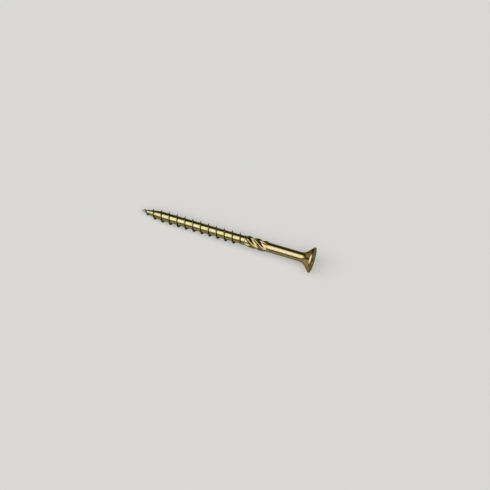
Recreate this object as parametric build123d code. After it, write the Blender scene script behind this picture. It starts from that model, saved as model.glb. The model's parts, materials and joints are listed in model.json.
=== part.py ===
from build123d import *
import os
from dataclasses import dataclass
from math import asin, atan2, ceil, cos, degrees, hypot, radians, sin, tan
from typing import Callable

# Structural wood screw, 5 x 70 mm, with a countersunk head. It is one piece of steel wire:
# the head and its star socket are pressed cold, and the point, thread and shank cutter are rolled.
# It is built about +X with its point at x = 0 and its head face at x = LENGTH. Then it is laid down
# as it rests, on the head's rim and one crest of the thread. Millimetres throughout.
# A roll is an angle about +X, measured from straight up toward the front (-Y).

# Whole screw
LENGTH = 70.0
SHANK_D = 3.7

# Core under the thread, and the point
CORE_D = 3.4
CORE_END = 42.1
POINT_LENGTH = 8.0
POINT_TIP_D = 0.16
POINT_MIDDLE_D = 2.08

# Rolled thread: right-hand, a thin fin that swells from the point and fades at the shank
THREAD_D = 5.0
PITCH = 3.24
THREAD_ROLL = 156.0
THREAD_START = 0.5
THREAD_END = 41.9
THREAD_CREST_WIDTH = 0.15
THREAD_HALF_ANGLE = 15.0
THREAD_SWELL_START_D = 0.34
THREAD_SWELL_END = 11.0
THREAD_SWELL_POWER = 2.3
THREAD_FADE_LENGTH = 1.6

# Shank cutter: slanted ribs on a floor a little under the shank, which ream the hole for it
CUTTER_START = 42.8
CUTTER_END = 51.9
CUTTER_D = 4.3
CUTTER_FLOOR_D = 3.34
CUTTER_LEAD = 18.6
CUTTER_ROLL = 22.0
RIBS = 5
RIB_CREST_WIDTH = 0.4
RIB_HALF_ANGLE = 67.0
RIB_FADE_LENGTH = 1.2

# Every fin's foot is sunk in the metal under it, and its faded end is sunk too
SINK = 0.8
END_SINK = 0.95
STEPS_PER_TURN = 64

# Countersunk head
HEAD_D = 10.0
HEAD_HALF_ANGLE = 45.0
RIM_HEIGHT = 0.5
RIM_EDGE_R = 0.22
FACE_EDGE = 0.12
NECK_R = 3.0

# Star socket, size 25
STAR_TIP_D = 4.5
STAR_HOLLOW_D = 3.26
STAR_LOBES = 6
STAR_LOBE_R = 0.38
STAR_DEPTH = 2.5
STAR_FLOOR_DROP = 0.7


def polar(radius, angle):
    """Point in a sketch, at a radius and an angle in degrees."""
    return Vector(radius * cos(radians(angle)), radius * sin(radians(angle)))


def nearest_corner(sketch, x, y):
    """The sketch's corner closest to a point."""
    return sketch.vertices().sort_by_distance((x, y, 0))[0]


def core_radius(x):
    """Radius of the core, on its point of two cones or behind it."""
    tip, middle, full = POINT_TIP_D / 2, POINT_MIDDLE_D / 2, CORE_D / 2
    share = min(2.0, x / (POINT_LENGTH / 2))
    if share < 1:
        return tip + (middle - tip) * share
    return middle + (full - middle) * (share - 1)


def blank():
    """Point, core, shank and head as one turned body."""
    head_r = HEAD_D / 2
    shank_r = SHANK_D / 2
    floor_r = CUTTER_FLOOR_D / 2
    rim_x = LENGTH - RIM_HEIGHT
    neck_x = rim_x - (head_r - shank_r) / tan(radians(HEAD_HALF_ANGLE))
    corners = [
        (0, 0),
        (0, POINT_TIP_D / 2),
        (POINT_LENGTH / 2, POINT_MIDDLE_D / 2),
        (POINT_LENGTH, CORE_D / 2),
        (CORE_END, CORE_D / 2),
        (CORE_END, shank_r),
        (CUTTER_START, shank_r),
        (CUTTER_START, floor_r),
        (CUTTER_END, floor_r),
        (CUTTER_END, shank_r),
        (neck_x, shank_r),
        (rim_x, head_r),
        (LENGTH, head_r),
        (LENGTH, 0),
    ]
    outline = make_face(Polyline(corners, close=True))
    outline = fillet(nearest_corner(outline, neck_x, shank_r), NECK_R)
    outline = fillet(nearest_corner(outline, rim_x, head_r), RIM_EDGE_R)
    outline = chamfer(nearest_corner(outline, LENGTH, head_r), FACE_EDGE)
    return revolve(outline, Axis.X)


@dataclass
class Fin:
    """A right-hand helical fin round the screw, with straight flanks and a flat crest."""

    start: float
    end: float
    lead: float
    roll: float
    crest_width: float
    half_angle: float
    body_radius: Callable
    crest_radius: Callable

    def point(self, x, side, at_crest):
        """Point on one of the fin's four long edges, in its section at x."""
        foot = SINK * self.body_radius(x)
        crest = self.crest_radius(x)
        radius = crest if at_crest else foot
        half_width = self.crest_width / 2 + (crest - radius) * tan(radians(self.half_angle))
        roll = radians(self.roll + 360 * x / self.lead)
        return Vector(x + side * half_width, -radius * sin(roll), radius * cos(roll))

    def edge(self, start, length, side, at_crest):
        """A stretch of one of the fin's long edges."""
        steps = ceil(STEPS_PER_TURN * length / self.lead)
        shares = [i / steps for i in range(steps + 1)]
        points = [self.point(start + length * share, side, at_crest) for share in shares]
        nudge = length / 1000
        tangents = []
        for x in (start, start + length):
            change = self.point(x + nudge, side, at_crest) - self.point(x - nudge, side, at_crest)
            tangents.append(change * (length / (2 * nudge)))
        return Edge.make_spline(points, tangents=tangents, parameters=shares, scale=False)

    def solid(self):
        """The fin as one closed solid, made in stretches of up to a turn."""
        stretches = ceil((self.end - self.start) / self.lead)
        length = (self.end - self.start) / stretches
        corners = [(-1, False), (-1, True), (1, True), (1, False)]
        faces = []
        for stretch in range(stretches):
            start = self.start + stretch * length
            edges = [self.edge(start, length, side, at_crest) for side, at_crest in corners]
            faces += [Face.make_surface_from_curves(edges[i - 1], edges[i]) for i in range(4)]
        for x in (self.start, self.end):
            section = [self.point(x, side, at_crest) for side, at_crest in corners]
            faces.append(Face(Wire.make_polygon(section, close=True)))
        return Solid(Shell(faces))


def faded(full, faded_radius, distance, length):
    """Radius of a crest that drops away smoothly over a length before its end."""
    share = max(0.0, 1 - distance / length)
    return full - (full - faded_radius) * share**2


def thread_crest(x):
    """Radius of the thread's crest, where it swells, runs full or fades."""
    full = THREAD_D / 2
    if x < THREAD_SWELL_END:
        swell = 1 - (1 - x / THREAD_SWELL_END) ** THREAD_SWELL_POWER
        return THREAD_SWELL_START_D / 2 + (full - THREAD_SWELL_START_D / 2) * swell
    return faded(full, END_SINK * CORE_D / 2, THREAD_END - x, THREAD_FADE_LENGTH)


def thread():
    """The wood thread."""
    fin = Fin(
        start=THREAD_START,
        end=THREAD_END,
        lead=PITCH,
        roll=THREAD_ROLL,
        crest_width=THREAD_CREST_WIDTH,
        half_angle=THREAD_HALF_ANGLE,
        body_radius=core_radius,
        crest_radius=thread_crest,
    )
    return fin.solid()


def cutter_floor(x):
    """Radius between the cutter's ribs."""
    return CUTTER_FLOOR_D / 2


def rib_crest(x):
    """Radius of a rib's crest, which fades at both ends."""
    to_end = min(x - CUTTER_START, CUTTER_END - x)
    return faded(CUTTER_D / 2, END_SINK * CUTTER_FLOOR_D / 2, to_end, RIB_FADE_LENGTH)


def ribs():
    """The cutter's ribs, evenly spaced round the shank."""
    solids = []
    for rib in range(RIBS):
        fin = Fin(
            start=CUTTER_START,
            end=CUTTER_END,
            lead=CUTTER_LEAD,
            roll=CUTTER_ROLL + 360 * rib / RIBS,
            crest_width=RIB_CREST_WIDTH,
            half_angle=RIB_HALF_ANGLE,
            body_radius=cutter_floor,
            crest_radius=rib_crest,
        )
        solids.append(fin.solid())
    return solids


def lobed_outline(lobes, tip_d, hollow_d, lobe_r):
    """Face with round lobes joined by hollow arcs, each arc tangent to its neighbours."""
    spacing = 360 / lobes
    lobe_offset = tip_d / 2 - lobe_r
    hollow = hollow_d / 2
    across = 2 * lobe_offset * cos(radians(spacing / 2))
    hollow_r = (lobe_r**2 - lobe_offset**2 - hollow**2 + across * hollow) / (
        2 * hollow - across - 2 * lobe_r
    )
    lobe_centre = polar(lobe_offset, 0)
    hollow_centre = polar(hollow + hollow_r, spacing / 2)
    joint = lobe_centre + (hollow_centre - lobe_centre).normalized() * lobe_r
    lean = degrees(atan2(joint.Y, joint.X))
    arcs = []
    for lobe in range(lobes):
        turn = lobe * spacing
        start, end = polar(joint.length, turn - lean), polar(joint.length, turn + lean)
        following = polar(joint.length, turn + spacing - lean)
        arcs.append(ThreePointArc(start, polar(tip_d / 2, turn), end))
        arcs.append(ThreePointArc(end, polar(hollow, turn + spacing / 2), following))
    return make_face(Wire(arcs))


def socket():
    """The star socket's space, closed by a shallow conical floor."""
    place = Plane(origin=(LENGTH, 0, 0), x_dir=(0, 1, 0), z_dir=(-1, 0, 0))
    outline = lobed_outline(STAR_LOBES, STAR_TIP_D, STAR_HOLLOW_D, STAR_LOBE_R)
    star = extrude(place * outline, STAR_DEPTH + STAR_FLOOR_DROP)
    wall_x = LENGTH - STAR_DEPTH
    drill = Polyline(
        (LENGTH, 0),
        (LENGTH, STAR_TIP_D / 2),
        (wall_x, STAR_TIP_D / 2),
        (wall_x - STAR_FLOOR_DROP, 0),
        close=True,
    )
    return star & revolve(make_face(drill), Axis.X)


def rest_tilt():
    """Angle of the axis to the floor when the rim and one thread crest both touch it."""
    rim_x = LENGTH - RIM_HEIGHT + RIM_EDGE_R * tan(radians(HEAD_HALF_ANGLE / 2))
    rim_r = HEAD_D / 2 - RIM_EDGE_R
    tilts = []
    for turn in range(ceil(CORE_END / PITCH)):
        x = PITCH * (turn + (180 - THREAD_ROLL) / 360)
        run, rise = rim_x - x, rim_r - thread_crest(x)
        tilts.append(degrees(atan2(rise, run) + asin(RIM_EDGE_R / hypot(run, rise))))
    return min(tilts)


def laid_down(screw):
    """The screw at rest, with the middle of its box over the origin and its foot at z = 0."""
    screw = Rot(0, -rest_tilt(), 0) * screw
    box = screw.bounding_box()
    middle = box.center()
    return Pos(-middle.X, -middle.Y, -box.min.Z) * screw


def structural_screw():
    """The whole screw as one solid."""
    screw = blank() + thread() + ribs() - socket()
    return laid_down(screw.solid())


os.makedirs("parts", exist_ok=True)
export_step(structural_screw(), "parts/structural_screw.step")
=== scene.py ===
import json
from math import atan2, cos, pi, radians, sin, tan

import bpy
import numpy as np
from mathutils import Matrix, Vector


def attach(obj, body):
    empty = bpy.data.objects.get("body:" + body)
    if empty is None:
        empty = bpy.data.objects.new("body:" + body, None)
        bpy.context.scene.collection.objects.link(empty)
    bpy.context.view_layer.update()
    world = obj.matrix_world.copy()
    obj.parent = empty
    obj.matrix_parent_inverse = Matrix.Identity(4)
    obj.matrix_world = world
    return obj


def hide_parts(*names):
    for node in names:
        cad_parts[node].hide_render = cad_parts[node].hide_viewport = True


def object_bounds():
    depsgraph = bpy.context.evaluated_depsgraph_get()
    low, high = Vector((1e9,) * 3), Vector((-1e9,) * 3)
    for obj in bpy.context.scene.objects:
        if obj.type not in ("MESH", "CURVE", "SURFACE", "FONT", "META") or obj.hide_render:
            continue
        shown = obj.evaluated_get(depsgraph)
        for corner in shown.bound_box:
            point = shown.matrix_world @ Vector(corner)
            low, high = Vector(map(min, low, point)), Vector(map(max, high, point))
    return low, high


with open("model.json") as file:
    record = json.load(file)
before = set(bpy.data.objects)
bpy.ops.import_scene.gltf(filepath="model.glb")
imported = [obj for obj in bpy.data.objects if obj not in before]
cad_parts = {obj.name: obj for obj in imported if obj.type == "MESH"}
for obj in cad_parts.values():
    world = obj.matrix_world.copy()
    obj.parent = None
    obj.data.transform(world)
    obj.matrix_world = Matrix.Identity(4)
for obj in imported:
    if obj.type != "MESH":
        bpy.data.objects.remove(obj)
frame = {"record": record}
cad_box = [list(corner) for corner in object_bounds()]

# The screw is one piece of plated steel. Its CAD solid has straight flanks and plain edges, so one
# finer mesh of the same screw replaces it, with rounded crests, filleted feet and soft edges.
# It is built about +X in millimetres with its point at x = 0, then laid down where the solid lies.
# A roll is an angle about +X, measured from straight up toward the front (-Y).
MM = 0.001

# Dimensions of the screw, as in its source, but for the point's outline, the cutter's ribs and the
# head's cone, rim and neck. Those follow the photograph more closely. The two surfaces are nowhere
# over 0.2 mm apart.
LENGTH = 70.0
SHANK_R = 1.85
CORE_R = 1.7
CORE_END = 42.1
POINT_LENGTH = 8.0
POINT_TIP_R = 0.079
POINT_BULGE = 0.15
THREAD_R = 2.5
THREAD_CREST_WIDTH = 0.15
PITCH = 3.24
THREAD_ROLL = radians(156)
THREAD_START = 0.5
THREAD_END = 41.9
THREAD_HALF_ANGLE = radians(15)
SWELL_START_R = 0.17
SWELL_END = 11.0
SWELL_POWER = 2.3
THREAD_FADE = 1.6
THREAD_EASE = 1.3
EASE_LEAD_SHARE = 0.2
CUTTER_START = 42.8
CUTTER_END = 51.9
CUTTER_FLOOR_R = 1.6
CUTTER_LEAD = 18.6
CUTTER_ROLL = radians(21)
RIBS = 5
RIB_R = 2.2
RIB_CREST_WIDTH = 0.3
RIB_TIP_ANGLE = radians(60)
RIB_HEAD_ANGLE = radians(64)
RIB_FADE = 1.2
END_SINK = 0.95
HEAD_R = (cad_box[1][1] - cad_box[0][1]) / 2 / MM
HEAD_HALF_ANGLE = radians(47.5)
RIM_HEIGHT = 0.6
RIM_EDGE_R = 0.3
FACE_EDGE = 0.12
NECK_R = 4.0
STAR_TIP_R = 2.25
STAR_HOLLOW_R = 1.63
STAR_LOBES = 6
STAR_LOBE_R = 0.38
STAR_DEPTH = 2.5
STAR_FLOOR_DROP = 0.7

# Softened edges that only this finer mesh has. Edges of a fin lower than FULL_FIN are rounded less.
CREST_ROUND = 0.04
FOOT_ROUND = 0.17
FULL_FIN = 0.35
RIB_ROUND = 0.15
STEP_ROUND = 0.1
MOUTH_ROUND = 0.09
SOCKET_FOOT = 0.15

# The thread's height wavers by up to this share of itself, with a new height every few columns
CREST_WAVER = 0.04
WAVER_COLUMNS = 11
WAVER_SEED = 4

# The rim's and the socket mouth's share of the wear that the thread's crest has
EDGE_WEAR = 1.0

# Columns of faces round the screw, and gaps between its rings in mm. The narrow flat ring of
# FLAT_EDGE beside a rounded edge keeps the face beyond it evenly shaded.
COLUMNS = 180
COLUMN = 2 * pi / COLUMNS
CUTTER_RING_GAP = 0.14
CUTTER_MARGIN = 0.5
LOW_FIN_GAP = 0.05
FLAT_EDGE = 0.08
SHARP_ANGLE = radians(40)
MERGE_DIGITS = 5

# Rings of the bare shank, and points along each arc of the outline
SHANK_RINGS = 8
ROUND_STEPS = 4
CREST_STEPS = 3
NECK_STEPS = 9
RIM_STEPS = 6
FACE_EDGE_STEPS = 5

# The passivation's colour along the screw, by share of its length
ZONES = [
    (0.0, (0.225, 0.225, 0.165)),
    (0.03, (0.260, 0.245, 0.100)),
    (0.62, (0.272, 0.245, 0.094)),
    (0.67, (0.300, 0.228, 0.088)),
    (0.74, (0.292, 0.220, 0.108)),
    (0.80, (0.278, 0.225, 0.122)),
    (0.91, (0.268, 0.230, 0.098)),
    (0.95, (0.300, 0.228, 0.100)),
    (1.0, (0.280, 0.242, 0.105)),
]

# It is multiplied by these in patches, and at a grazing angle it goes toward another tint
THIN_FILM = (0.92, 0.95, 0.82, 1)
THICK_FILM = (0.95, 0.915, 0.985, 1)
GRAZING_TINT = (0.35, 0.30, 0.17, 1)

# On the head's cone it is multiplied by these too: painted shade, dark at the back (+Y), to painted
# light, pale at the front.
# A pair of places is where a look is absent and where it is full, in mm.
HEAD_BACK_PAINTED_SHADE = (0.40, 0.34, 0.20, 1)
HEAD_FRONT_PAINTED_LIGHT = (1.55, 1.38, 1.6, 1)
CONE_HALF_WIDTH = 4.0
CONE_START = (66.0, 67.5)
CONE_END = (69.6, 69.1)
SOCKET_MARGIN = 0.3

# Painted shade darkens the flanks of the thread and, less, of the ribs. A flank's bounds are pairs
# of heights, as shares of the crest's.
FLANK_PAINTED_SHADE = (0.08, 0.065, 0.025, 1)
THREAD_FLANK_SHARE = 0.95
RIB_FLANK_SHARE = 0.3
FLANK_START = (0.0, 0.1)
FLANK_END = (0.95, 0.8)

# Bare zinc shows on crests and edges, and is rougher than the film by this much
BARE_ZINC = (0.34, 0.325, 0.24, 1)
BARE_SHARE = 0.7
BARE_START = (0.85, 1.0)
BARE_ROUGHNESS = 0.12

# Patches, in cells for each mm, with the range of their noise and what it becomes
HUE_PATCHES = 0.3
HUE_NOISE = (0.38, 0.62)
CLOUD_PATCHES = 1.5
CLOUD_NOISE = (0.3, 0.7)
CLOUD_BRIGHTNESS = (0.9, 1.1)
CHAFED_PATCHES = 2.2
CHAFED_NOISE = (0.35, 0.6)
CHAFED_WEAR = (0.3, 1.0)
GLOSS_PATCHES = 2.6
GLOSS_NOISE = (0.3, 0.7)
GLOSS_ROUGHNESS = (0.15, 0.24)

# Marks, in cells for each mm: drawn out along the plain shank, and round the screw elsewhere
DRAWN_MARKS = 7.0
DRAWN_STRETCH = (0.05, 1, 1)
ROLLED_MARKS = 9.0
ROLLED_STRETCH = (1, 0.12, 0.12)
GRAIN_MARKS = 16.0
GRAIN_SHARE = 0.35
DRAWN_START = (41, 43)
DRAWN_END = (66, 63)
MARK_DEPTH = 0.004

# Camera: degrees round from the front and up from level, then metres, then millimetres of sensor.
# Its focal length is given as pixels of the frame.
CAMERA_TURN = 19.525
CAMERA_RISE = 62.775
CAMERA_DISTANCE = 0.6553
CAMERA_AIM = (0.007529, -0.000004, 0)
CAMERA_SENSOR = 36
FOCAL_PIXELS = 1700
FRAME_PIXELS = 490

# Lamp: the degrees that it leans to the front and to the right, and the degrees from its middle
# where it is still full and where it ends. Squeezed by this share, it reaches further along x.
LAMP_LEAN = 21.5
LAMP_ASIDE = -19
LAMP_CORE = 17
LAMP_EDGE = 54
LAMP_SQUEEZE = 0.4
LAMP_STRENGTH = 3.55
LAMP_COLOUR = (1.0, 1.0, 1.3, 1)

# Room: its strength to the front and to the back, and how far back each is, from -1 to 1
ROOM_STRENGTH = (0.2, 0.05)
ROOM_SPAN = (-0.9, 0.6)
ROOM_COLOUR = (1.0, 0.78, 0.3, 1)

# Floor: its half width in metres, its paper, and the glow that only cameras and reflections see
FLOOR_REACH = 3.0
FLOOR_COLOUR = (0.24, 0.24, 0.1872, 1)
FLOOR_GLOW = 0.285
FLOOR_GLOW_COLOUR = (1, 1, 0.95, 1)


def ease(share):
    """Smooth step from 0 to 1."""
    share = np.clip(share, 0, 1)
    return share * share * (3 - 2 * share)


def soft_min(a, b, blend):
    """Lesser of two heights, rounded over where they meet."""
    overlap = np.maximum(blend - np.abs(a - b), 0) / blend
    return np.minimum(a, b) - overlap**2 * blend / 4


def waver(count, cell, seed):
    """Smoothly wandering values from 0 to 1."""
    knots = np.random.default_rng(seed).uniform(0, 1, count // cell + 3)
    place = np.arange(count) / cell
    left = place.astype(int)
    share = ease(place - left)
    return knots[left] * (1 - share) + knots[left + 1] * share


def around(x, radius, roll, ridge=0.0):
    """Points of the screw by place along it, radius and roll, each with its share of a ridge."""
    x, radius, roll, ridge = np.broadcast_arrays(x, radius, roll, ridge)
    return np.stack([x, -radius * np.sin(roll), radius * np.cos(roll), ridge], axis=-1)


def core_radius(x):
    """Radius of the core, on its point or behind it."""
    share = np.clip(x / POINT_LENGTH, 0, 1)
    return POINT_TIP_R + (CORE_R - POINT_TIP_R) * share + 4 * POINT_BULGE * share * (1 - share)


def faded(full, end_radius, distance, length):
    """Radius of a crest that drops away smoothly over a length before its end."""
    share = np.clip(1 - distance / length, 0, 1)
    return full - (full - end_radius) * share**2


def fin_height(x):
    """Height of the thread's crest over the core. It starts to rise a share of its ease early."""
    swell = 1 - np.clip(1 - x / SWELL_END, 0, 1) ** SWELL_POWER
    swelling = SWELL_START_R + (THREAD_R - SWELL_START_R) * swell
    fading = faded(THREAD_R, END_SINK * CORE_R, THREAD_END - x, THREAD_FADE)
    height = np.minimum(swelling, fading) - core_radius(np.maximum(x, 0))
    return np.maximum(height, 0) * ease((x - THREAD_START) / THREAD_EASE + EASE_LEAD_SHARE)


def fin_section(height):
    """Offsets along the axis and rises over the core, across the fin from root to root."""
    lean = THREAD_HALF_ANGLE
    full = ease(height / FULL_FIN)
    crest_r = CREST_ROUND * full
    foot_r = FOOT_ROUND * full
    land = (THREAD_CREST_WIDTH / 2 - CREST_ROUND) * full
    turns = np.linspace(0, pi / 2 - lean, CREST_STEPS)
    offsets = [land * 0] + [land + crest_r * sin(turn) for turn in turns]
    rises = [height] + [height - crest_r + crest_r * cos(turn) for turn in turns]
    foot = offsets[-1] + (rises[-1] - foot_r) * tan(lean) + foot_r / cos(lean)
    turns = np.linspace(pi + lean, 1.5 * pi, ROUND_STEPS)
    fillet = [foot + foot_r * cos(turn) for turn in turns]
    fillet_rises = [foot_r + foot_r * sin(turn) for turn in turns]
    offsets += [(offsets[-1] + fillet[0]) / 2] + fillet
    rises += [(rises[-1] + fillet_rises[0]) / 2] + fillet_rises
    gap = LOW_FIN_GAP * (1 - full)
    offsets = [offset + gap * place for place, offset in enumerate(offsets)]
    root = np.full_like(height, PITCH / 2)
    offsets = np.array(offsets + [(offsets[-1] + root) / 2, root])
    rises = np.maximum(np.array(rises + [root * 0, root * 0]), 0)
    return np.concatenate([-offsets[:0:-1], offsets]), np.concatenate([rises[:0:-1], rises])


def threaded_core():
    """The core and its thread, as one strip of sections wound from the point to the shank."""
    sections = int(np.ceil((CORE_END + PITCH) / PITCH * COLUMNS)) + 1
    centre = -PITCH / 2 + np.arange(sections) * PITCH / COLUMNS
    height = fin_height(centre) * (1 - CREST_WAVER * waver(sections, WAVER_COLUMNS, WAVER_SEED))
    offsets, rises = fin_section(height)
    x = np.clip(centre + offsets, 0, CORE_END)
    rises = rises * ((x > 0) & (x < CORE_END))
    roll = THREAD_ROLL + 2 * pi * centre / PITCH
    strip = around(x, core_radius(x) + rises, roll, rises / (THREAD_R - CORE_R))
    return strip.transpose(1, 0, 2)


def cutter_ring(x):
    """Ring round the shank cutter, which turns with the ribs."""
    roll = CUTTER_ROLL + 2 * pi * x / CUTTER_LEAD + np.arange(COLUMNS) * COLUMN
    per_rib = COLUMNS // RIBS
    from_rib = (np.arange(COLUMNS) + per_rib // 2) % per_rib - per_rib // 2
    lag = from_rib * CUTTER_LEAD / COLUMNS
    to_end = np.minimum(x + lag - CUTTER_START, CUTTER_END - x - lag)
    height = faded(RIB_R, END_SINK * CUTTER_FLOOR_R, to_end, RIB_FADE) - CUTTER_FLOOR_R
    slope = np.where(lag > 0, 1 / tan(RIB_TIP_ANGLE), 1 / tan(RIB_HEAD_ANGLE))
    flank = height - (np.abs(lag) - RIB_CREST_WIDTH / 2) * slope
    rise = -soft_min(-soft_min(height, flank, RIB_ROUND), 0, RIB_ROUND)
    sunk = ease(min(x - CUTTER_START, CUTTER_END - x) / STEP_ROUND + 0.5)
    radius = SHANK_R + (CUTTER_FLOOR_R + rise - SHANK_R) * sunk
    return around(x, radius, roll, np.clip(rise * sunk / (RIB_R - CUTTER_FLOOR_R), 0, 1))


def arc(centre_x, centre_r, radius, start, end, steps, ridge=0.0):
    """Points (x, r, ridge) along an arc, by angles from the +x direction, with the most ridge midway."""
    return [
        (centre_x + radius * cos(a), centre_r + radius * sin(a), ridge * sin(pi * place / (steps - 1)))
        for place, a in enumerate(np.linspace(start, end, steps))
    ]


def collar_outline():
    """Outline (x, r, ridge) of the step from the core up to the shank."""
    half = STEP_ROUND / 2
    edge = arc(CORE_END + half, SHANK_R - half, half, pi, pi / 2, ROUND_STEPS)
    return [(CORE_END, CORE_R, 0), (CORE_END, SHANK_R - STEP_ROUND, 0)] + edge


def head_outline():
    """Outline (x, r, ridge) of the bare shank, the head and the edge of its face."""
    rim_x = LENGTH - RIM_HEIGHT
    bend = tan(HEAD_HALF_ANGLE / 2)
    neck_x = rim_x - (HEAD_R - SHANK_R) / tan(HEAD_HALF_ANGLE) - NECK_R * bend
    shank = np.linspace(CUTTER_END + CUTTER_MARGIN, neck_x, SHANK_RINGS, endpoint=False)
    outline = [(x, SHANK_R, 0) for x in shank]
    outline += arc(neck_x, SHANK_R + NECK_R, NECK_R, -pi / 2, HEAD_HALF_ANGLE - pi / 2, NECK_STEPS)
    rim_turn = pi / 2 + HEAD_HALF_ANGLE
    edge_x = rim_x + RIM_EDGE_R * bend
    rim = arc(edge_x, HEAD_R - RIM_EDGE_R, RIM_EDGE_R, rim_turn, pi / 2, RIM_STEPS, EDGE_WEAR)
    outline += [tuple((a + b) / 2 for a, b in zip(outline[-1], rim[0]))] + rim
    face_r = HEAD_R - FACE_EDGE
    outline += arc(LENGTH - FACE_EDGE, face_r, FACE_EDGE, pi / 2, 0, FACE_EDGE_STEPS, EDGE_WEAR)
    return outline + [(LENGTH, face_r - FLAT_EDGE, 0)]


def star_outline():
    """Points round the star socket's wall, one for each column, and their normals into the steel."""
    half = pi / STAR_LOBES
    offset = STAR_TIP_R - STAR_LOBE_R
    across = 2 * offset * cos(half)
    hollow_r = (STAR_LOBE_R**2 - offset**2 - STAR_HOLLOW_R**2 + across * STAR_HOLLOW_R) / (
        2 * STAR_HOLLOW_R - across - 2 * STAR_LOBE_R
    )
    reach = STAR_HOLLOW_R + hollow_r
    lean = atan2(reach * sin(half), reach * cos(half) - offset)
    per_lobe = COLUMNS // STAR_LOBES
    on_lobe = per_lobe // 2
    places, normals = [], []
    for lobe in range(STAR_LOBES):
        roll = half + 2 * half * lobe
        for turn in np.linspace(-lean, lean, on_lobe, endpoint=False):
            normal = np.array([cos(roll + turn), sin(roll + turn)])
            places.append(offset * np.array([cos(roll), sin(roll)]) + STAR_LOBE_R * normal)
            normals.append(normal)
        roll += half
        for turn in np.linspace(lean - half, half - lean, per_lobe - on_lobe, endpoint=False):
            normal = np.array([cos(roll + turn), sin(roll + turn)])
            places.append(reach * np.array([cos(roll), sin(roll)]) - hollow_r * normal)
            normals.append(normal)
    return np.array(places), np.array(normals)


def star_ring(places, depth, ridge=0.0):
    """Ring of the socket at a depth under the head's face."""
    return around(LENGTH - depth, np.hypot(*places.T), np.arctan2(places[:, 1], places[:, 0]), ridge)


def floor_depth(places):
    """Depth of the socket's shallow conical floor."""
    return STAR_DEPTH + STAR_FLOOR_DROP * (1 - np.hypot(*places.T) / STAR_TIP_R)


def socket_rings():
    """Rings of the star socket, from its mouth to the middle of its floor."""
    wall, normal = star_outline()
    quarter = np.linspace(0, pi / 2, ROUND_STEPS)
    rings = [star_ring(wall + normal * (MOUTH_ROUND + FLAT_EDGE), 0)]
    for turn in quarter:
        mouth = wall + normal * MOUTH_ROUND * (1 - sin(turn))
        rings.append(star_ring(mouth, MOUTH_ROUND * (1 - cos(turn)), EDGE_WEAR * sin(2 * turn)))
    rings += [star_ring(wall, share * STAR_DEPTH) for share in (0.25, 0.5, 0.75)]
    for turn in quarter:
        foot = wall - normal * SOCKET_FOOT * (1 - cos(turn))
        rings.append(star_ring(foot, floor_depth(wall) - SOCKET_FOOT * (1 - sin(turn))))
    rings += [star_ring(foot * share, floor_depth(foot * share)) for share in (0.75, 0.5, 0.25, 0)]
    return rings


def shank_and_head():
    """Everything behind the thread, as one grid of rings, each turned to start beside the last."""
    roll = THREAD_ROLL - pi + np.arange(COLUMNS) * COLUMN
    rings = [around(x, radius, roll, ridge) for x, radius, ridge in collar_outline()]
    cutter = np.arange(CUTTER_START - STEP_ROUND, CUTTER_END + STEP_ROUND, CUTTER_RING_GAP)
    rings += [cutter_ring(x) for x in cutter]
    rings += [around(x, radius, roll, ridge) for x, radius, ridge in head_outline()]
    rings += socket_rings()
    turned = [rings[0]]
    for ring in rings[1:]:
        nearest = np.argmin(np.linalg.norm(ring[:, 1:3] - turned[-1][0, 1:3], axis=1))
        turned.append(np.roll(ring, -nearest, axis=0))
    return np.stack([np.concatenate([ring, ring[:1]]) for ring in turned], axis=1)


def point_end():
    """The tiny flat end of the point."""
    roll = THREAD_ROLL - pi + np.arange(COLUMNS + 1) * COLUMN
    return np.stack([around(0, radius, roll) for radius in (0, POINT_TIP_R)], axis=1)


def laid_down(places):
    """Points of the screw where the solid lies: its own axis is the star socket's."""
    mount = next(mount for mount in frame["record"]["mounts"] if mount["name"] == "star_socket")
    ahead = np.array(mount["axis"]) / np.linalg.norm(mount["axis"])
    across = np.array([0, 1, 0])
    own_axes = np.array([ahead, across, np.cross(ahead, across)])
    return mount["pos_m"] + (places - [LENGTH, 0, 0]) @ own_axes * MM


def welded(grids):
    """One mesh of the grids' quads, with points that meet made one."""
    points, quads, count = [], [], 0
    for grid in grids:
        index = count + np.arange(grid.shape[0] * grid.shape[1]).reshape(grid.shape[:2])
        corners = [index[:-1, :-1], index[1:, :-1], index[1:, 1:], index[:-1, 1:]]
        quads.append(np.stack(corners, axis=-1).reshape(-1, 4))
        points.append(grid.reshape(-1, 4))
        count += len(points[-1])
    points = np.concatenate(points)
    quads = np.concatenate(quads)
    rounded = np.round(points[:, :3], MERGE_DIGITS)
    places, first, kept = np.unique(rounded, axis=0, return_index=True, return_inverse=True)
    faces = []
    for quad in kept.reshape(-1)[quads].tolist():
        corners = [corner for place, corner in enumerate(quad) if corner != quad[place - 1]]
        if len(set(corners)) > 2:
            faces.append(corners)
    mesh = bpy.data.meshes.new("screw_metal")
    mesh.from_pydata(laid_down(places), [], faces)
    ridge = mesh.attributes.new("ridge", "FLOAT", "POINT")
    ridge.data.foreach_set("value", points[first, 3].astype(np.float32))
    own_place = mesh.attributes.new("own_place", "FLOAT_VECTOR", "POINT")
    own_place.data.foreach_set("vector", places.astype(np.float32).ravel())
    mesh.shade_smooth()
    mesh.set_sharp_from_angle(angle=SHARP_ANGLE)
    return mesh


def screw():
    """The finished screw, in place of the solid."""
    mesh = welded([point_end(), threaded_core(), shank_and_head()])
    mesh.materials.append(plated_steel())
    piece = bpy.data.objects.new("screw_metal", mesh)
    bpy.context.scene.collection.objects.link(piece)
    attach(piece, "root")
    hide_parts("structural_screw")


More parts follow.
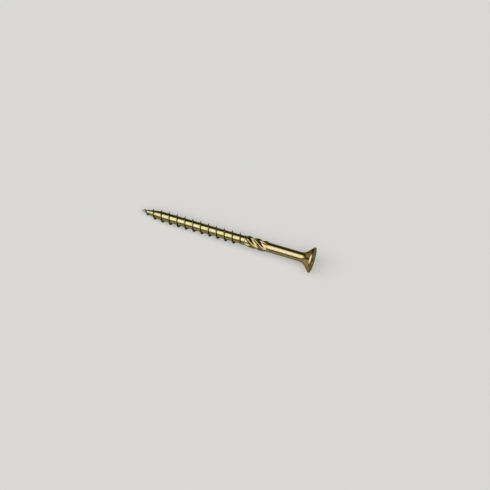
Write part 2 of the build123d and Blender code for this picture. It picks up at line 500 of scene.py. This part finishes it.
class Nodes:
    """A node tree, with short calls to add linked nodes."""

    def __init__(self, tree):
        self.tree = tree
        tree.nodes.clear()

    def add(self, kind, inputs=(), **settings):
        """A new node, with its settings, and its inputs as values or as sockets to link."""
        node = self.tree.nodes.new(kind)
        for name, value in settings.items():
            setattr(node, name, value)
        for name, value in dict(inputs).items():
            if isinstance(value, bpy.types.NodeSocket):
                self.tree.links.new(value, node.inputs[name])
            else:
                node.inputs[name].default_value = value
        return node

    def maths(self, operation, *inputs):
        """The result of a sum on numbers or sockets."""
        node = self.add("ShaderNodeMath", dict(enumerate(inputs)), operation=operation)
        return node.outputs["Value"]

    def vector(self, operation, *inputs):
        """The result of a sum on vectors, colours or sockets."""
        node = self.add("ShaderNodeVectorMath", dict(enumerate(inputs)), operation=operation)
        return node.outputs["Vector"]

    def measure(self, operation, *inputs):
        """A number worked out from vectors or sockets."""
        node = self.add("ShaderNodeVectorMath", dict(enumerate(inputs)), operation=operation)
        return node.outputs["Value"]

    def within(self, value, start, end):
        """1 between two soft bounds, each a pair from where it is 0 to where it is 1."""
        return self.maths("MULTIPLY", self.scaled(value, *start), self.scaled(value, *end))

    def scaled(self, value, start, end, low=0.0, high=1.0):
        """A value taken smoothly from one range to another."""
        inputs = {"Value": value, "From Min": start, "From Max": end, "To Min": low, "To Max": high}
        return self.add("ShaderNodeMapRange", inputs, interpolation_type="SMOOTHSTEP").outputs["Result"]

    def blend(self, share, first, second):
        """A mix of two colours."""
        return self.add("ShaderNodeMix", {0: share, 6: first, 7: second}, data_type="RGBA").outputs[2]

    def noise(self, place, scale, stretch=(1, 1, 1), detail=2.0):
        """Noise from 0 to 1, with its scale by each axis."""
        inputs = {"Vector": self.vector("MULTIPLY", place, stretch), "Scale": scale, "Detail": detail}
        return self.add("ShaderNodeTexNoise", inputs).outputs["Fac"]

    def ramp(self, factor, stops):
        """Colour by factor, through stops of (place, colour)."""
        node = self.add("ShaderNodeValToRGB", {"Fac": factor})
        elements = node.color_ramp.elements
        while len(elements) < len(stops):
            elements.new(1)
        for element, (place, colour) in zip(elements, stops):
            element.position = place
            element.color = (*colour, 1)
        return node.outputs["Color"]


def varied_film(nodes, own_place, along):
    """Colour of the yellow passivation, which changes along the screw and in patches."""
    tint = nodes.ramp(nodes.maths("DIVIDE", along, LENGTH), ZONES)
    hue = nodes.scaled(nodes.noise(own_place, HUE_PATCHES, detail=3.0), *HUE_NOISE)
    tint = nodes.vector("MULTIPLY", tint, nodes.blend(hue, THIN_FILM, THICK_FILM))
    cloud = nodes.noise(own_place, CLOUD_PATCHES, detail=4.0)
    cloud = nodes.scaled(cloud, *CLOUD_NOISE, *CLOUD_BRIGHTNESS)
    cloud = nodes.add("ShaderNodeCombineXYZ", {0: cloud, 1: cloud, 2: cloud}).outputs["Vector"]
    return nodes.vector("MULTIPLY", tint, cloud)


def cone_painted_light(nodes, own_place, along, aside):
    """Painted shade and light that multiply the film on the outside of the head's cone: dark at the
    back, pale at the front.
    """
    from_back = nodes.scaled(aside, CONE_HALF_WIDTH, -CONE_HALF_WIDTH)
    radius = nodes.measure("LENGTH", nodes.vector("MULTIPLY", own_place, (0, 1, 1)))
    outside = nodes.scaled(radius, STAR_TIP_R, STAR_TIP_R + SOCKET_MARGIN)
    on_cone = nodes.maths("MULTIPLY", nodes.within(along, CONE_START, CONE_END), outside)
    return nodes.blend(on_cone, (1, 1, 1, 1), nodes.blend(from_back, HEAD_BACK_PAINTED_SHADE, HEAD_FRONT_PAINTED_LIGHT))


def passivation(nodes, own_place, ridge):
    """Colour of the whole surface, with painted shade on the thread's flanks and on the back of the
    head's cone and painted light on its front, and how worn it is.
    """
    place = nodes.add("ShaderNodeSeparateXYZ", {"Vector": own_place}).outputs
    along = place["X"]
    tint = varied_film(nodes, own_place, along)
    # Painted shade on the back of the head's cone and painted light on its front
    tint = nodes.vector("MULTIPLY", tint, cone_painted_light(nodes, own_place, along, place["Y"]))
    # Painted shade on the flanks of the thread and, less, of the ribs
    flank = nodes.within(ridge, FLANK_START, FLANK_END)
    to_ribs = (CUTTER_START, CUTTER_START + CUTTER_MARGIN)
    share = nodes.scaled(along, *to_ribs, THREAD_FLANK_SHARE, RIB_FLANK_SHARE)
    tint = nodes.blend(nodes.maths("MULTIPLY", flank, share), tint, FLANK_PAINTED_SHADE)
    chafed = nodes.noise(own_place, CHAFED_PATCHES, detail=3.0)
    chafed = nodes.scaled(chafed, *CHAFED_NOISE, *CHAFED_WEAR)
    worn = nodes.maths("MULTIPLY", nodes.scaled(ridge, *BARE_START), chafed)
    return nodes.blend(nodes.maths("MULTIPLY", worn, BARE_SHARE), tint, BARE_ZINC), worn


def tool_marks(nodes, own_place):
    """Height in millimetres of the marks that drawing, rolling and pressing leave in the steel."""
    along = nodes.add("ShaderNodeSeparateXYZ", {"Vector": own_place}).outputs["X"]
    drawn = nodes.noise(own_place, DRAWN_MARKS, DRAWN_STRETCH)
    rolled = nodes.noise(own_place, ROLLED_MARKS, ROLLED_STRETCH)
    grain = nodes.noise(own_place, GRAIN_MARKS, detail=1.0)
    on_shank = nodes.within(along, DRAWN_START, DRAWN_END)
    streaks = nodes.add("ShaderNodeMix", {0: on_shank, 2: rolled, 3: drawn}, data_type="FLOAT")
    return nodes.maths("MULTIPLY_ADD", grain, GRAIN_SHARE, streaks.outputs[0])


def plated_steel():
    """Zinc plating with a yellow passivation, worn on the crests and edges, with painted shade on the
    thread's flanks and painted shade and light on the head's cone.
    """
    material = bpy.data.materials.new("yellow_zinc_plating")
    material.use_nodes = True
    nodes = Nodes(material.node_tree)
    own_place = nodes.add("ShaderNodeAttribute", attribute_name="own_place").outputs["Vector"]
    ridge = nodes.add("ShaderNodeAttribute", attribute_name="ridge").outputs["Fac"]
    tint, worn = passivation(nodes, own_place, ridge)
    gloss = nodes.noise(own_place, GLOSS_PATCHES, detail=3.0)
    roughness = nodes.scaled(gloss, *GLOSS_NOISE, *GLOSS_ROUGHNESS)
    bump = nodes.add("ShaderNodeBump", {
        "Height": tool_marks(nodes, own_place),
        "Distance": MARK_DEPTH * MM,
    })
    steel = nodes.add("ShaderNodeBsdfPrincipled", {
        "Base Color": tint,
        "Metallic": 1.0,
        "Roughness": nodes.maths("MULTIPLY_ADD", worn, BARE_ROUGHNESS, roughness),
        "Specular Tint": GRAZING_TINT,
        "Normal": bump.outputs["Normal"],
    })
    nodes.add("ShaderNodeOutputMaterial", {"Surface": steel.outputs["BSDF"]})
    return material


def pale_floor():
    """The plain pale surface that the screw lies on."""
    sides = [(-1, -1), (1, -1), (1, 1), (-1, 1)]
    corners = [(x * FLOOR_REACH, y * FLOOR_REACH, 0) for x, y in sides]
    mesh = bpy.data.meshes.new("floor")
    mesh.from_pydata(corners, [], [(0, 1, 2, 3)])
    floor = bpy.data.objects.new("floor", mesh)
    bpy.context.scene.collection.objects.link(floor)
    material = bpy.data.materials.new("pale_paper")
    material.use_nodes = True
    nodes = Nodes(material.node_tree)
    paper = nodes.add("ShaderNodeBsdfDiffuse", {"Color": FLOOR_COLOUR})
    rays = nodes.add("ShaderNodeLightPath").outputs
    seen = nodes.maths("MAXIMUM", rays["Is Camera Ray"], rays["Is Glossy Ray"])
    seen = nodes.maths("MAXIMUM", seen, rays["Is Transmission Ray"])
    glow = nodes.add("ShaderNodeEmission", {
        "Color": FLOOR_GLOW_COLOUR,
        "Strength": nodes.maths("MULTIPLY", seen, FLOOR_GLOW),
    })
    both = nodes.add("ShaderNodeAddShader", {0: paper.outputs["BSDF"], 1: glow.outputs["Emission"]})
    nodes.add("ShaderNodeOutputMaterial", {"Surface": both.outputs["Shader"]})
    mesh.materials.append(material)


def studio_light():
    """A dim room with one broad soft light overhead, a little to the front and left."""
    world = bpy.data.worlds.new("studio")
    bpy.context.scene.world = world
    world.use_nodes = True
    nodes = Nodes(world.node_tree)
    direction = nodes.add("ShaderNodeTexCoord").outputs["Generated"]
    squeeze = Vector((LAMP_SQUEEZE, 1, 1))
    lean = radians(LAMP_LEAN)
    aside = radians(LAMP_ASIDE)
    centre = Vector((sin(aside), -sin(lean) * cos(aside), cos(lean) * cos(aside))) * squeeze
    squeezed = nodes.vector("NORMALIZE", nodes.vector("MULTIPLY", direction, squeeze))
    angle = nodes.maths("ARCCOSINE", nodes.measure("DOT_PRODUCT", squeezed, centre.normalized()))
    lamp = nodes.scaled(angle, radians(LAMP_EDGE), radians(LAMP_CORE), 0.0, LAMP_STRENGTH)
    back = nodes.add("ShaderNodeSeparateXYZ", {"Vector": direction}).outputs["Y"]
    room = nodes.scaled(back, *ROOM_SPAN, *ROOM_STRENGTH)
    lamp = nodes.add("ShaderNodeBackground", {"Color": LAMP_COLOUR, "Strength": lamp})
    room = nodes.add("ShaderNodeBackground", {"Color": ROOM_COLOUR, "Strength": room})
    both = nodes.add("ShaderNodeAddShader", {0: lamp.outputs[0], 1: room.outputs[0]})
    nodes.add("ShaderNodeOutputWorld", {"Surface": both.outputs["Shader"]})


def photo_camera():
    """Camera over the screw, turned and raised as in the photograph."""
    turn = radians(CAMERA_TURN)
    rise = radians(CAMERA_RISE)
    back = Vector((cos(rise) * sin(turn), -cos(rise) * cos(turn), sin(rise)))
    lens = bpy.data.cameras.new("camera")
    lens.sensor_width = CAMERA_SENSOR
    lens.lens = CAMERA_SENSOR * FOCAL_PIXELS / FRAME_PIXELS
    lens.clip_start = 0.01
    lens.clip_end = 20
    camera = bpy.data.objects.new("camera", lens)
    camera.location = Vector(CAMERA_AIM) + back * CAMERA_DISTANCE
    camera.rotation_mode = "QUATERNION"
    camera.rotation_quaternion = (-back).to_track_quat("-Z", "Y")
    bpy.context.scene.collection.objects.link(camera)
    bpy.context.scene.camera = camera


photo_camera()
studio_light()
pale_floor()
screw()
bpy.context.scene.view_settings.view_transform = "Standard"
